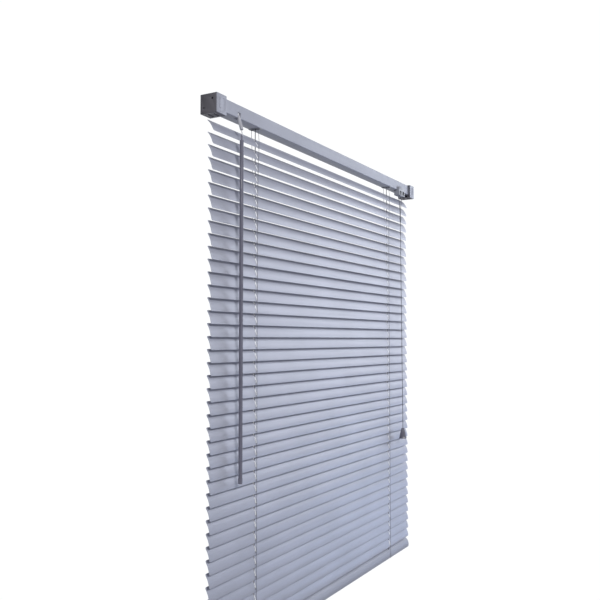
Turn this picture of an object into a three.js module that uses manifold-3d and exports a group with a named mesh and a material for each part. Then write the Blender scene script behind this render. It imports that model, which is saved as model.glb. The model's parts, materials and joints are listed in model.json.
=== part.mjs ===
// Venetian blind with 25 mm aluminium slats, a tilt wand at the left and a lift cord at the right.
// Millimetres, +Z up. X runs along the blind from left to right as seen from the room, and +Y
// points at the wall. The origin is the middle of the left bracket's rear face; the blind itself
// is drawn in a group whose corner is the bracket's outer, rear, top corner.
import * as THREE from 'three';
import { mergeVertices } from 'three/addons/utils/BufferGeometryUtils.js';
import Module from 'manifold-3d';

const wasm = await Module();
wasm.setup();

// ---- driving dimensions ----
const overallWidth = 903;
const bracketWidth = 28;
const bracketDepth = 34.4;
const bracketHeight = 33.6;
const bracketWall = 1.2;
const screwHoleRadius = 1.9;
const coverThickness = 1.4;
const gap = 0.3;                        // clearance between separate pieces
const past = 1;                         // how far a cutting tool runs past the surface it opens

const endHoles = [{ y: -24.4, z: -9 }, { y: -6.9, z: -24 }];
const faceHoles = [{ x: 7.5, away: -9 }, { x: 20.5, away: -24 }];
const bracketRibs = { y: [-28, -17.2, -6.4], thickness: 1.5 };
const floorSlots = { y: [-22.6, -11.8], width: 4, x: [6, 22] };
const grip = { x: [8, 10.6], z: [-24.5, -6], proud: 0.8 };
const coverRecess = { x: [14, 24], z: [-27, -6], depth: 0.4 };

const midY = -bracketDepth / 2;         // rail, rod and slats share this middle plane
const railDepth = 25;
const railHeight = 24.2;
const railWall = 0.8;
const railLip = 3;
const railTop = -1.7;
const railEndGap = bracketWall + 0.6;
const ladderOpening = { along: 8, across: 22 };
const stemNotch = { width: 9, depth: 8.5, topZ: -15.5 };
const noseWindow = { depth: 10.5, topZ: -17 };
const housing = { topZ: -3, rear: 9 };  // shared by the tilter and the cord lock inside the rail

const slatChord = 25;
const slatCrown = 1.9;
const slatThickness = 0.6;
const slatLength = 872;
const slatStart = 4;
const slatPitch = 21.7;
const slatCount = 41;
const firstSlatZ = -52.3;
const hangingTilt = 69;                 // degrees, room edge down
const topSlackTilt = 14.5;              // how much less the uppermost slat is tilted
const topSlackSlats = 2.2;              // slats over which that difference fades
const routeHole = { across: 18, along: 2.6 };

const ladderX = [143.4, 755];
const stringRadius = 0.45;
const stringOffset = 1.05;              // string centre to slat edge
const frontStringTop = -50;
const backStringTop = -29;
const stringStepSlats = 9;              // slats that the strings' lean is drawn through
const liftCordRadius = 0.8;

const rodZ = -12.5;
const rodRadius = 3;
const drum = { length: 12, radius: 7.5, groove: 2.6, hub: 4.4, bore: 3.35 };

const tilterX = 73;
const tilterLength = 30;
const wheelBay = { half: 6, width: 10 };
const wormTopZ = -6;
const wormBottomZ = -19;
const neckBottomZ = -22;
const neckStep = 0.7;                   // neck radius below the worm's
const socket = { depth: 7, wall: 1.1 };
const stemLean = 17;                    // degrees from vertical, lower end towards the room
const stemRadius = 3.05;
const stemTopY = -24.6;                 // stem axis at the height of the rod
const stemBottomZ = -47;
const wandTopZ = -57;
const wandBottomZ = -662.6;
const wandRadius = 3.9;
const wandEye = { height: 9, width: 4, thickness: 2, holeRadius: 1.2, holeDrop: 2.6 };
const hookWireRadius = 0.6;

const lock = { x: 818, width: 44, noseWidth: 38, noseBottom: -39, noseTop: -17.5, noseFront: -34.4 };
const rollerBay = { half: 14, front: 7, rear: 5, bottomZ: -20 };
const lockWindows = { offsets: [-8.5, 8.5], width: 10, depth: 4, z: [-36.5, -28] };
const cordHole = { radius: 1.5, topZ: -15 };
const cordLegX = [804.5, 820.5];
const cordLegY = -31.2;
const cordRadius = 0.8;
const knot = { x: 810, y: -32.4, topZ: -92, bottomZ: -112, radius: 2.4 };
const tassel = {
  x: 798.5, y: -40.2, topZ: -641.5, height: 26, topRadius: 4, baseRadius: 9.4, recess: 2.5,
};

const bottomRail = { chord: 25, thickness: 9, drop: 28 };

// ---- solids ----
function toManifold(geometry) {
  const bare = geometry.clone();
  bare.deleteAttribute('normal');
  bare.deleteAttribute('uv');
  const merged = mergeVertices(bare, 1e-4);
  const mesh = new wasm.Mesh({
    numProp: 3,
    vertProperties: new Float32Array(merged.attributes.position.array),
    triVerts: new Uint32Array(merged.index.array),
  });
  return new wasm.Manifold(mesh);
}

function toGeometry(manifold) {
  const mesh = manifold.getMesh();
  const geometry = new THREE.BufferGeometry();
  geometry.setAttribute('position', new THREE.BufferAttribute(mesh.vertProperties, 3));
  geometry.setIndex(new THREE.BufferAttribute(mesh.triVerts, 1));
  return geometry;
}

function cut(geometry, tools) {
  let result = toManifold(geometry);
  for (const tool of tools) {
    result = result.subtract(toManifold(tool));
  }
  return toGeometry(result);
}

function join(geometries) {
  let result = toManifold(geometries[0]);
  for (const other of geometries.slice(1)) {
    result = result.add(toManifold(other));
  }
  return toGeometry(result);
}

function box(x, y, z) {
  const geometry = new THREE.BoxGeometry(x[1] - x[0], y[1] - y[0], z[1] - z[0]);
  geometry.translate((x[0] + x[1]) / 2, (y[0] + y[1]) / 2, (z[0] + z[1]) / 2);
  return geometry;
}

// A cylinder from one point to another, with as many sides as asked.
function rod(from, to, radius, sides = 24) {
  const start = new THREE.Vector3(...from);
  const end = new THREE.Vector3(...to);
  const direction = end.clone().sub(start);
  const geometry = new THREE.CylinderGeometry(radius, radius, direction.length(), sides);
  const turn = new THREE.Quaternion();
  turn.setFromUnitVectors(new THREE.Vector3(0, 1, 0), direction.clone().normalize());
  geometry.applyQuaternion(turn);
  const middle = start.add(end).multiplyScalar(0.5);
  geometry.translate(middle.x, middle.y, middle.z);
  return geometry;
}

// An outline drawn in (y, z), extruded along X.
function alongX(shape, length, curveSegments = 3) {
  const options = { depth: length, bevelEnabled: false, curveSegments, steps: 1 };
  const geometry = new THREE.ExtrudeGeometry(shape, options);
  const basis = new THREE.Matrix4().makeBasis(
    new THREE.Vector3(0, 1, 0),
    new THREE.Vector3(0, 0, 1),
    new THREE.Vector3(1, 0, 0),
  );
  geometry.applyMatrix4(basis);
  return geometry;
}

function tube(points, radius, sides, steps) {
  const path = new THREE.CatmullRomCurve3(points.map((p) => new THREE.Vector3(...p)));
  const section = new THREE.Shape();
  section.absarc(0, 0, radius, 0, Math.PI * 2, false);
  // a full circle gets two sides for each curve segment
  const options = { extrudePath: path, steps, curveSegments: sides / 2, bevelEnabled: false };
  return new THREE.ExtrudeGeometry(section, options);
}

// Spans given from the left end, mirrored for the right-hand bracket.
function spanFrom(side, near, far) {
  return side === 'left' ? [near, far] : [overallWidth - far, overallWidth - near];
}

// ---- materials ----
function material(color, roughness, metalness) {
  return new THREE.MeshStandardMaterial({ color, roughness, metalness });
}

const paint = () => material(0xb6b9cc, 0.45, 0.3);
const slatPaint = () => material(0xb9bccd, 0.4, 0.3);
const bracketSteel = () => material(0x6c6a74, 0.55, 0.5);
const plastic = () => material(0xa9abb8, 0.4, 0);
const steel = () => material(0x9a9ca4, 0.3, 1);
const cord = () => material(0xa3a6b6, 0.9, 0);

const blind = new THREE.Group();
blind.position.set(-bracketWidth / 2, 0, bracketHeight / 2);

function add(name, geometry, look, place = {}) {
  const mesh = new THREE.Mesh(geometry, look);
  mesh.name = name;
  mesh.position.set(...(place.position ?? [0, 0, 0]));
  mesh.rotation.x = THREE.MathUtils.degToRad(place.tilt ?? 0);
  blind.add(mesh);
  return mesh;
}

// ---- brackets ----
// A box open to the front and towards the blind, with ribs under the head rail.
function bracket(side) {
  const front = -bracketDepth + coverThickness + gap;
  const inner = [bracketWall, bracketWidth];
  const endWall = box(spanFrom(side, 0, bracketWall), [front, 0], [-bracketHeight, 0]);
  const rearWall = box(spanFrom(side, 0, bracketWidth), [-bracketWall, 0], [-bracketHeight, 0]);
  const topWall = box(spanFrom(side, 0, bracketWidth), [front, 0], [-bracketWall, 0]);
  const floorTop = -bracketHeight + bracketWall;
  const floor = box(spanFrom(side, 0, bracketWidth), [front, 0], [-bracketHeight, floorTop]);
  const ribHalf = bracketRibs.thickness / 2;
  const ribs = bracketRibs.y.map((y) => box(
    spanFrom(side, ...inner),
    [y - ribHalf, y + ribHalf],
    [floorTop - bracketWall / 2, railTop - railHeight - gap],
  ));
  const through = bracketWall + past;
  const [endFrom, endTo] = spanFrom(side, -past, through);
  const holes = endHoles.map(({ y, z }) => rod([endFrom, y, z], [endTo, y, z], screwHoleRadius));
  for (const { x, away } of faceHoles) {
    const holeX = spanFrom(side, x, x)[0];
    holes.push(rod([holeX, -through, away], [holeX, past, away], screwHoleRadius));
    holes.push(rod([holeX, away, -through], [holeX, away, past], screwHoleRadius));
  }
  const slotHalf = floorSlots.width / 2;
  for (const y of floorSlots.y) {
    holes.push(box(
      spanFrom(side, ...floorSlots.x),
      [y - slotHalf, y + slotHalf],
      [-bracketHeight - past, floorTop + past],
    ));
  }
  const shell = join([endWall, rearWall, topWall, floor, ...ribs]);
  return cut(shell, holes);
}

// The cover is a plate across the bracket's front with a raised grip bar.
function bracketCover(side) {
  const back = -bracketDepth + coverThickness;
  const plate = box(spanFrom(side, 0, bracketWidth), [-bracketDepth, back], [-bracketHeight, 0]);
  const bar = box(spanFrom(side, ...grip.x), [-bracketDepth - grip.proud, back], grip.z);
  const recess = box(
    spanFrom(side, ...coverRecess.x),
    [-bracketDepth - past, -bracketDepth + coverRecess.depth],
    coverRecess.z,
  );
  return cut(join([plate, bar]), [recess]);
}

for (const side of ['left', 'right']) {
  add(`bracket_${side}`, bracket(side), bracketSteel());
  add(`bracket_cover_${side}`, bracketCover(side), paint());
}

// ---- head rail ----
// A U-channel, open at the top between two turned-in lips.
function headRail() {
  const half = railDepth / 2;
  const bottom = railTop - railHeight;
  const inner = half - railWall;
  const outline = new THREE.Shape();
  outline.moveTo(-half, bottom);
  outline.lineTo(half, bottom);
  outline.lineTo(half, railTop);
  outline.lineTo(half - railLip, railTop);
  outline.lineTo(half - railLip, railTop - railWall);
  outline.lineTo(inner, railTop - railWall);
  outline.lineTo(inner, bottom + railWall);
  outline.lineTo(-inner, bottom + railWall);
  outline.lineTo(-inner, railTop - railWall);
  outline.lineTo(-half + railLip, railTop - railWall);
  outline.lineTo(-half + railLip, railTop);
  outline.lineTo(-half, railTop);
  outline.closePath();
  const channel = alongX(outline, overallWidth - 2 * railEndGap);
  channel.translate(railEndGap, midY, 0);

  const openings = ladderX.map((x) => box(
    [x - ladderOpening.along / 2, x + ladderOpening.along / 2],
    [midY - ladderOpening.across / 2, midY + ladderOpening.across / 2],
    [bottom - past, bottom + railWall + past],
  ));
  // the stem leaves through the front lower corner
  const front = midY - half;
  openings.push(box(
    [tilterX - stemNotch.width / 2, tilterX + stemNotch.width / 2],
    [front - past, front + stemNotch.depth],
    [bottom - past, stemNotch.topZ],
  ));
  // the lock's nose fills a window in the same corner
  const noseHalf = lock.noseWidth / 2 + gap;
  openings.push(box(
    [lock.x - noseHalf, lock.x + noseHalf],
    [front - past, front + noseWindow.depth],
    [bottom - past, noseWindow.topZ],
  ));
  return cut(channel, openings);
}

add('head_rail', headRail(), paint());

// ---- tilter ----
const lean = THREE.MathUtils.degToRad(stemLean);

// A point on the stem's axis at a given height.
function stemPoint(z) {
  return [tilterX, stemTopY - (rodZ - z) * Math.tan(lean), z];
}

// The block that a fitting fills inside the rail, from one end to the other.
function railBlock(x) {
  const inside = railDepth / 2 - railWall - gap;
  const bottom = railTop - railHeight + railWall + gap;
  return box(x, [midY - inside, midY + housing.rear], [bottom, housing.topZ]);
}

function tilterHousing() {
  const ends = [tilterX - tilterLength / 2, tilterX + tilterLength / 2];
  const boreFrom = [ends[0] - past, midY, rodZ];
  const boreTo = [ends[1] + past, midY, rodZ];
  const rodBore = rod(boreFrom, boreTo, rodRadius + gap + 0.2);
  const bay = box(
    [tilterX - wheelBay.width / 2, tilterX + wheelBay.width / 2],
    [midY - wheelBay.half, midY + wheelBay.half],
    [rodZ - wheelBay.half, 0],
  );
  const wormBay = rod(stemPoint(wormTopZ + 1.5), stemPoint(-30), stemRadius + 2 * gap);
  return cut(railBlock(ends), [rodBore, bay, wormBay]);
}

// Worm, neck and stem are one moulding; the stem's lower end is hollow for the hook.
function tilterWorm() {
  const worm = rod(stemPoint(wormTopZ), stemPoint(wormBottomZ), stemRadius);
  const neck = rod(stemPoint(wormBottomZ + 1), stemPoint(neckBottomZ), stemRadius - neckStep);
  const stem = rod(stemPoint(neckBottomZ + 0.5), stemPoint(stemBottomZ), stemRadius);
  const hollow = rod(
    stemPoint(stemBottomZ + socket.depth),
    stemPoint(stemBottomZ - 2 * past),
    stemRadius - socket.wall,
  );
  return cut(join([worm, neck, stem]), [hollow]);
}

add('tilter_housing', tilterHousing(), plastic());
add('tilter_worm', tilterWorm(), plastic());

// ---- tilt rod and ladder drums ----
const rodEnds = [tilterX - tilterLength / 2 - 4, ladderX[1] + 14];
add('tilt_rod', rod([rodEnds[0], midY, rodZ], [rodEnds[1], midY, rodZ], rodRadius, 6), steel());

// A spool with one groove for both ladder strings.
function ladderDrum(x) {
  const side = drum.length / 2;
  const lip = drum.groove / 2;
  const profile = [
    new THREE.Vector2(drum.bore, -side),
    new THREE.Vector2(drum.radius, -side),
    new THREE.Vector2(drum.radius, -lip),
    new THREE.Vector2(drum.hub, -lip),
    new THREE.Vector2(drum.hub, lip),
    new THREE.Vector2(drum.radius, lip),
    new THREE.Vector2(drum.radius, side),
    new THREE.Vector2(drum.bore, side),
    new THREE.Vector2(drum.bore, -side),
  ];
  const spool = new THREE.LatheGeometry(profile, 16);
  spool.rotateZ(-Math.PI / 2);
  spool.translate(x, midY, rodZ);
  return spool;
}

add('ladder_drum_left', ladderDrum(ladderX[0]), plastic());
add('ladder_drum_right', ladderDrum(ladderX[1]), plastic());

// ---- wand ----
const hangY = stemPoint(stemBottomZ)[1];

// A bent wire: a shank below the stem and an open hook for the wand's eye.
function wandHook() {
  const top = stemBottomZ - gap - 0.1;
  const points = [
    [tilterX, hangY, top],
    [tilterX, hangY, top - 3.5],
    [tilterX + 1.6, hangY, top - 6],
    [tilterX + 1.2, hangY, top - 8],
    [tilterX - 0.6, hangY, top - 8.8],
    [tilterX - 2.2, hangY, top - 7.4],
  ];
  return tube(points, hookWireRadius, 6, 16);
}

function wand() {
  const shoulder = [tilterX, hangY, wandTopZ - wandEye.height];
  const shaft = rod([tilterX, hangY, wandBottomZ], shoulder, wandRadius, 6);
  const eye = box(
    [tilterX - wandEye.width / 2, tilterX + wandEye.width / 2],
    [hangY - wandEye.thickness / 2, hangY + wandEye.thickness / 2],
    [wandTopZ - wandEye.height - 1, wandTopZ],
  );
  const holeZ = wandTopZ - wandEye.holeDrop;
  const hole = rod(
    [tilterX, hangY - 2 * past, holeZ],
    [tilterX, hangY + 2 * past, holeZ],
    wandEye.holeRadius,
    16,
  );
  return cut(join([shaft, eye]), [hole]);
}

add('wand_hook', wandHook(), steel());
add('wand', wand(), plastic());

// ---- slats ----
// Each slat is a shallow arc across its width, convex upwards, with a hole for each lift cord.
function slat() {
  const half = slatChord / 2;
  const radius = (half * half + slatCrown * slatCrown) / (2 * slatCrown);
  const centreZ = slatCrown - radius;
  const reach = Math.asin(half / radius);
  const outline = new THREE.Shape();
  const up = Math.PI / 2;
  outline.absarc(0, centreZ, radius + slatThickness / 2, up + reach, up - reach, true);
  outline.absarc(0, centreZ, radius - slatThickness / 2, up - reach, up + reach, false);
  outline.closePath();
  const strip = alongX(outline, slatLength);
  const end = routeHole.across / 2;
  const side = routeHole.along / 2;
  const holes = ladderX.map((x) => box(
    [x - slatStart - side, x - slatStart + side],
    [-end, end],
    [-slatCrown, 2 * slatCrown],
  ));
  return cut(strip, holes);
}

const slatGeometry = slat();

// The ladder's slack under the rail leaves the first few slats a little more open.
function slatTilt(index) {
  return hangingTilt - topSlackTilt * Math.exp(-index / topSlackSlats);
}

for (let index = 0; index < slatCount; index += 1) {
  const name = `slat_${String(index + 1).padStart(2, '0')}`;
  add(name, slatGeometry.clone(), slatPaint(), {
    position: [slatStart, midY, firstSlatZ - slatPitch * index],
    tilt: slatTilt(index),
  });
}

// ---- bottom rail ----
const lastSlatZ = firstSlatZ - slatPitch * (slatCount - 1);
const bottomRailZ = lastSlatZ - bottomRail.drop;

// A flattened tube with lens-shaped section, drawn solid.
function bottomRailBar() {
  const half = bottomRail.chord / 2;
  const rise = bottomRail.thickness / 2;
  const radius = (half * half + rise * rise) / (2 * rise);
  const reach = Math.asin(half / radius);
  const up = Math.PI / 2;
  const outline = new THREE.Shape();
  outline.absarc(0, rise - radius, radius, up + reach, up - reach, true);
  outline.absarc(0, radius - rise, radius, -up + reach, -up - reach, true);
  outline.closePath();
  return alongX(outline, slatLength, 5);
}

add('bottom_rail', bottomRailBar(), paint(), {
  position: [slatStart, midY, bottomRailZ],
  tilt: hangingTilt,
});

// ---- ladder strings and lift cord ----
const hanging = THREE.MathUtils.degToRad(hangingTilt);
const edgeY = (slatChord / 2) * Math.cos(hanging) + stringOffset;
const edgeZ = (slatChord / 2) * Math.sin(hanging);

// The strings lean out to the more open slats at the top and hang straight below them.
function ladderString(side, topZ, bottomZ) {
  const sign = side === 'front' ? -1 : 1;
  const points = [];
  for (let index = 0; index < stringStepSlats; index += 1) {
    const z = firstSlatZ - slatPitch * index + sign * edgeZ;
    if (z < topZ) {
      const tilt = THREE.MathUtils.degToRad(slatTilt(index));
      points.push([ladderX[0], midY + sign * ((slatChord / 2) * Math.cos(tilt) + stringOffset), z]);
    }
  }
  points.unshift([ladderX[0], points[0][1], topZ]);
  points.push([ladderX[0], midY + sign * edgeY, bottomZ]);
  return tube(points, stringRadius, 6, 24);
}

// Both stop short of the bottom rail, which rises past them when the blind is raised.
add('ladder_front', ladderString('front', frontStringTop, bottomRailZ + 13), cord());
add('ladder_back', ladderString('back', backStringTop, bottomRailZ + 21), cord());

// The lift cord hangs through the slats down to the top of the bottom rail.
const liftTop = -36;
const liftBottom = bottomRailZ + bottomRail.thickness / 2 / Math.cos(hanging) + 1;
add('lift_cord_left', rod(
  [ladderX[0], midY, liftBottom],
  [ladderX[0], midY, liftTop],
  liftCordRadius,
  8,
), cord());

// ---- cord lock ----
function cordLock() {
  const body = railBlock([lock.x - lock.width / 2, lock.x + lock.width / 2]);
  const nose = box(
    [lock.x - lock.noseWidth / 2, lock.x + lock.noseWidth / 2],
    [lock.noseFront, midY - 3],
    [lock.noseBottom, lock.noseTop],
  );
  const bay = box(
    [lock.x - rollerBay.half, lock.x + rollerBay.half],
    [midY - rollerBay.front, midY + rollerBay.rear],
    [rollerBay.bottomZ, 0],
  );
  const windows = lockWindows.offsets.map((offset) => box(
    [lock.x + offset - lockWindows.width / 2, lock.x + offset + lockWindows.width / 2],
    [lock.noseFront - past, lock.noseFront + lockWindows.depth],
    lockWindows.z,
  ));
  const cordHoles = cordLegX.map((x) => rod(
    [x, cordLegY, lock.noseBottom - past],
    [x, cordLegY, cordHole.topZ],
    cordHole.radius,
    12,
  ));
  return cut(join([body, nose]), [bay, ...windows, ...cordHoles]);
}

add('cord_lock', cordLock(), plastic());

// ---- pull cord and tassel ----
// Two legs come out of the lock and meet in a knot; one line goes on to the tassel.
function pullCord() {
  const top = lock.noseBottom - gap;
  const legs = cordLegX.map((x) => tube([
    [x, cordLegY, top],
    [x, cordLegY, top - 8],
    [(x + knot.x) / 2, (cordLegY + knot.y) / 2, (top + knot.topZ) / 2 - 4],
    [knot.x + (x - knot.x) * 0.06, knot.y, knot.topZ - 4],
  ], cordRadius, 8, 12));
  const length = knot.topZ - knot.bottomZ;
  const middle = [knot.x, knot.y, knot.topZ - length / 2];
  const bulge = new THREE.SphereGeometry(knot.radius, 10, 8);
  bulge.rotateX(Math.PI / 2);
  bulge.scale(1, 1, length / (2 * knot.radius));
  bulge.translate(...middle);
  const line = rod([tassel.x, tassel.y, tassel.topZ + gap], middle, cordRadius, 8);
  return join([...legs, bulge, line]);
}

// A bell that widens to a shallow recess in its lower face.
function tasselBell() {
  const { height, topRadius, baseRadius, recess } = tassel;
  const outside = [
    new THREE.Vector2(0, 0),
    new THREE.Vector2(topRadius, 0),
    new THREE.Vector2(topRadius + 1, -5),
    new THREE.Vector2(baseRadius - 1.6, -16),
    new THREE.Vector2(baseRadius, -height),
  ];
  const inside = [
    new THREE.Vector2(baseRadius - 1.5, -height),
    new THREE.Vector2(baseRadius - 3, -height + recess),
    new THREE.Vector2(0, -height + recess),
  ];
  const bell = new THREE.LatheGeometry([...outside, ...inside].reverse(), 20);
  bell.rotateX(Math.PI / 2);
  bell.translate(tassel.x, tassel.y, tassel.topZ);
  return bell;
}

add('pull_cord', pullCord(), cord());
add('cord_tassel', tasselBell(), plastic());

const model = new THREE.Group();
model.add(blind);

export default model;
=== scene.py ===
# A 25 mm venetian blind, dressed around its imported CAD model. Metres, +Z up, X along the blind,
# +Y towards the wall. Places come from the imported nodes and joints.
import json
import math
import random

import bmesh
import bpy
from mathutils import Matrix, Vector


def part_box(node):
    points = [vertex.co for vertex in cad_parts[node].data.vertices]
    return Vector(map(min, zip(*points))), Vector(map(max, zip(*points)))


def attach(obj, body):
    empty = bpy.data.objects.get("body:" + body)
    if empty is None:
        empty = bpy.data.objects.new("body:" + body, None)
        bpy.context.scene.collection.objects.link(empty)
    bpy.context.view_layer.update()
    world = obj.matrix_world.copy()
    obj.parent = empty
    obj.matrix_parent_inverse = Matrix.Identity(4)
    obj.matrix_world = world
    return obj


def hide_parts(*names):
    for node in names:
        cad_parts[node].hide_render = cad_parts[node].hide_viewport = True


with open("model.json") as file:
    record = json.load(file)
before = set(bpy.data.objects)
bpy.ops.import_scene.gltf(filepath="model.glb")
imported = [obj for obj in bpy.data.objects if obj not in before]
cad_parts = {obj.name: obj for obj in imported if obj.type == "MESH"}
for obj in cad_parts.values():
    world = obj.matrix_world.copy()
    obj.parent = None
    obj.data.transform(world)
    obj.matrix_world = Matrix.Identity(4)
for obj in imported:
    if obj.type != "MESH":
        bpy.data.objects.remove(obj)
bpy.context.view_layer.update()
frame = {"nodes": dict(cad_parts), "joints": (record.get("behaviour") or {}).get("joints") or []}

MM = 0.001
JOINTS = {joint["name"]: joint for joint in frame["joints"]}


def joint_at(name):
    return Vector(JOINTS[name]["pos_m"])


# ---- driving values ----
SLAT_COUNT = sum(1 for name in frame["nodes"] if name.startswith("slat_"))
SLAT_CHORD = 25 * MM
SLAT_CROWN = 1.9 * MM
SLAT_THICKNESS = 0.3 * MM
SLAT_CORNER = 3.4 * MM
ROUTE_HOLE = (18 * MM, 2.6 * MM)
HANGING_TILT = 69
TOP_SLACK_TILT = 14.5
TOP_SLACK_SLATS = 2.2
STRING_OFFSET = 1.05 * MM
STRING_RADIUS = 0.42 * MM
LIFT_CORD_RADIUS = 0.8 * MM
PULL_CORD_RADIUS = 0.8 * MM
RUNG_RADIUS = 0.22 * MM

ROD = joint_at("tilt")
MID_Y = ROD.y
RAIL_LOW, RAIL_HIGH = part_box("head_rail")
SLAT_LOW, SLAT_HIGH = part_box(f"slat_{SLAT_COUNT:02d}")
SLAT_X = (SLAT_LOW.x, SLAT_HIGH.x)
SIDES = ("left", "right")
LADDER_X = [
    (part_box(f"ladder_drum_{side}")[0].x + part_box(f"ladder_drum_{side}")[1].x) / 2
    for side in SIDES
]
LADDERS = list(zip(SIDES, LADDER_X))

LOCK_LOW, LOCK_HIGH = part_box("cord_lock")
LOCK_X = (LOCK_LOW.x + LOCK_HIGH.x) / 2
NOSE_HALF = 19 * MM
NOSE_X = (LOCK_X - NOSE_HALF, LOCK_X + NOSE_HALF)
WINDOW_OFFSET = 9.2 * MM
WINDOW_X = (LOCK_X - WINDOW_OFFSET, LOCK_X + WINDOW_OFFSET)
WINDOW_HALF = 6.8 * MM
TILTER_X = ROD.x
STEM_TOP = joint_at("worm_spin")
STEM_AXIS = Vector(JOINTS["worm_spin"]["axis"])
STEM_FOOT = joint_at("wand_swing")
BOTTOM_RAIL = joint_at("bottom_rail_tilt")


def slat_name(index):
    return f"slat_{index + 1:02d}"


def slat_centre(index):
    return joint_at(f"{slat_name(index)}_tilt")


def slat_tilt(index):
    degrees = HANGING_TILT - TOP_SLACK_TILT * math.exp(-index / TOP_SLACK_SLATS)
    return math.radians(degrees)


# ---- camera ----
CAMERA_PLACE = (-1.0114, -0.7677, -0.3980)
CAMERA_HEADING = math.radians(60.14)
CAMERA_PITCH = math.radians(3.01)
CAMERA_LENS = 44.7


def make_camera():
    """The camera stands to the left of the blind, below the head rail, and looks slightly up."""
    data = bpy.data.cameras.new("camera")
    data.sensor_width = 36
    data.lens = CAMERA_LENS
    data.clip_start = 0.01
    data.clip_end = 60
    camera = bpy.data.objects.new("camera", data)
    bpy.context.scene.collection.objects.link(camera)
    camera.location = CAMERA_PLACE
    look = Vector((
        math.sin(CAMERA_HEADING) * math.cos(CAMERA_PITCH),
        math.cos(CAMERA_HEADING) * math.cos(CAMERA_PITCH),
        math.sin(CAMERA_PITCH),
    ))
    camera.rotation_mode = "QUATERNION"
    camera.rotation_quaternion = look.to_track_quat("-Z", "Y")
    bpy.context.scene.camera = camera


make_camera()


# ---- pull cord ----
# Its route: two legs from the lock's holes to a knot, then one line to the tassel.
LEG_X = (790.5 * MM, 806.5 * MM)
LEG_Y = -31.2 * MM
LEG_TOP = -22.5 * MM
KNOT = Vector((796, -32.4, -85.2)) * MM
KNOT_LENGTH = 20 * MM
TASSEL = Vector((784.5, -40.2, -624.7)) * MM


def leg_points(x):
    side = 1 if x > KNOT.x else -1
    return [
        (x, LEG_Y, LEG_TOP),
        (x, LEG_Y, LEG_TOP - 4 * MM),
        (x, LEG_Y, LEG_TOP - 8 * MM),
        ((x + KNOT.x) / 2, (LEG_Y + KNOT.y) / 2, (LEG_TOP + KNOT.z) / 2 + 1 * MM),
        (KNOT.x + side * 1.5 * MM, KNOT.y, KNOT.z + KNOT_LENGTH / 2 + 4 * MM),
        (KNOT.x + side * 0.8 * MM, KNOT.y, KNOT.z + KNOT_LENGTH / 2 - 1 * MM),
    ]


# ---- materials ----
def shader_nodes(name):
    material = bpy.data.materials.new(name)
    material.use_nodes = True
    nodes = material.node_tree.nodes
    shader = nodes.get("Principled BSDF")
    return material, material.node_tree, shader


def place_coordinates(tree, scale=(1, 1, 1)):
    """Object coordinates, stretched by a scale for each axis."""
    coordinates = tree.nodes.new("ShaderNodeTexCoord")
    mapping = tree.nodes.new("ShaderNodeMapping")
    mapping.inputs["Scale"].default_value = scale
    tree.links.new(coordinates.outputs["Object"], mapping.inputs["Vector"])
    return mapping.outputs["Vector"]


def noise_value(tree, vector, scale, detail=3.0):
    texture = tree.nodes.new("ShaderNodeTexNoise")
    texture.inputs["Scale"].default_value = scale
    texture.inputs["Detail"].default_value = detail
    texture.inputs["Roughness"].default_value = 0.55
    tree.links.new(vector, texture.inputs["Vector"])
    return texture.outputs["Fac"]


def colour_between(tree, value, dark, light, low=0.35, high=0.65):
    ramp = tree.nodes.new("ShaderNodeValToRGB")
    ramp.color_ramp.elements[0].position = low
    ramp.color_ramp.elements[0].color = (*dark, 1)
    ramp.color_ramp.elements[1].position = high
    ramp.color_ramp.elements[1].color = (*light, 1)
    tree.links.new(value, ramp.inputs["Fac"])
    return ramp.outputs["Color"]


def value_between(tree, value, low, high):
    remap = tree.nodes.new("ShaderNodeMapRange")
    remap.inputs["From Min"].default_value = 0.3
    remap.inputs["From Max"].default_value = 0.7
    remap.inputs["To Min"].default_value = low
    remap.inputs["To Max"].default_value = high
    tree.links.new(value, remap.inputs["Value"])
    return remap.outputs["Result"]


def add_bump(tree, shader, height, strength, distance, after=None):
    bump = tree.nodes.new("ShaderNodeBump")
    bump.inputs["Strength"].default_value = strength
    bump.inputs["Distance"].default_value = distance
    tree.links.new(height, bump.inputs["Height"])
    if after is not None:
        tree.links.new(after, bump.inputs["Normal"])
    tree.links.new(bump.outputs["Normal"], shader.inputs["Normal"])
    return bump.outputs["Normal"]


def shade(colour, factor):
    return tuple(channel * factor for channel in colour)


def coil_coated_metal(name, colour, roughness, metallic, streaks=(4, 900, 900)):
    """Baked enamel on rolled strip: faint lines along the strip, fine orange peel, light dust."""
    material, tree, shader = shader_nodes(name)
    along = place_coordinates(tree, streaks)
    streak = noise_value(tree, along, 1.0, detail=4)
    patches = noise_value(tree, place_coordinates(tree, (9, 9, 9)), 1.0, detail=5)
    peel = noise_value(tree, place_coordinates(tree), 1800, detail=2)
    base = colour_between(tree, patches, shade(colour, 0.95), shade(colour, 1.03))
    tree.links.new(base, shader.inputs["Base Color"])
    tree.links.new(
        value_between(tree, streak, roughness - 0.06, roughness + 0.08),
        shader.inputs["Roughness"],
    )
    shader.inputs["Metallic"].default_value = metallic
    rolled = add_bump(tree, shader, streak, 0.10, 0.00008)
    add_bump(tree, shader, peel, 0.08, 0.00003, after=rolled)
    return material


def moulded_plastic(name, colour, roughness):
    """Injection-moulded plastic with a fine spark-eroded grain."""
    material, tree, shader = shader_nodes(name)
    grain_value = noise_value(tree, place_coordinates(tree), 1400, detail=2)
    patches = noise_value(tree, place_coordinates(tree), 60, detail=4)
    base = colour_between(tree, patches, shade(colour, 0.88), shade(colour, 1.08))
    tree.links.new(base, shader.inputs["Base Color"])
    tree.links.new(
        value_between(tree, patches, roughness - 0.07, roughness + 0.07),
        shader.inputs["Roughness"],
    )
    add_bump(tree, shader, grain_value, 0.18, 0.00005)
    return material


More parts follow.
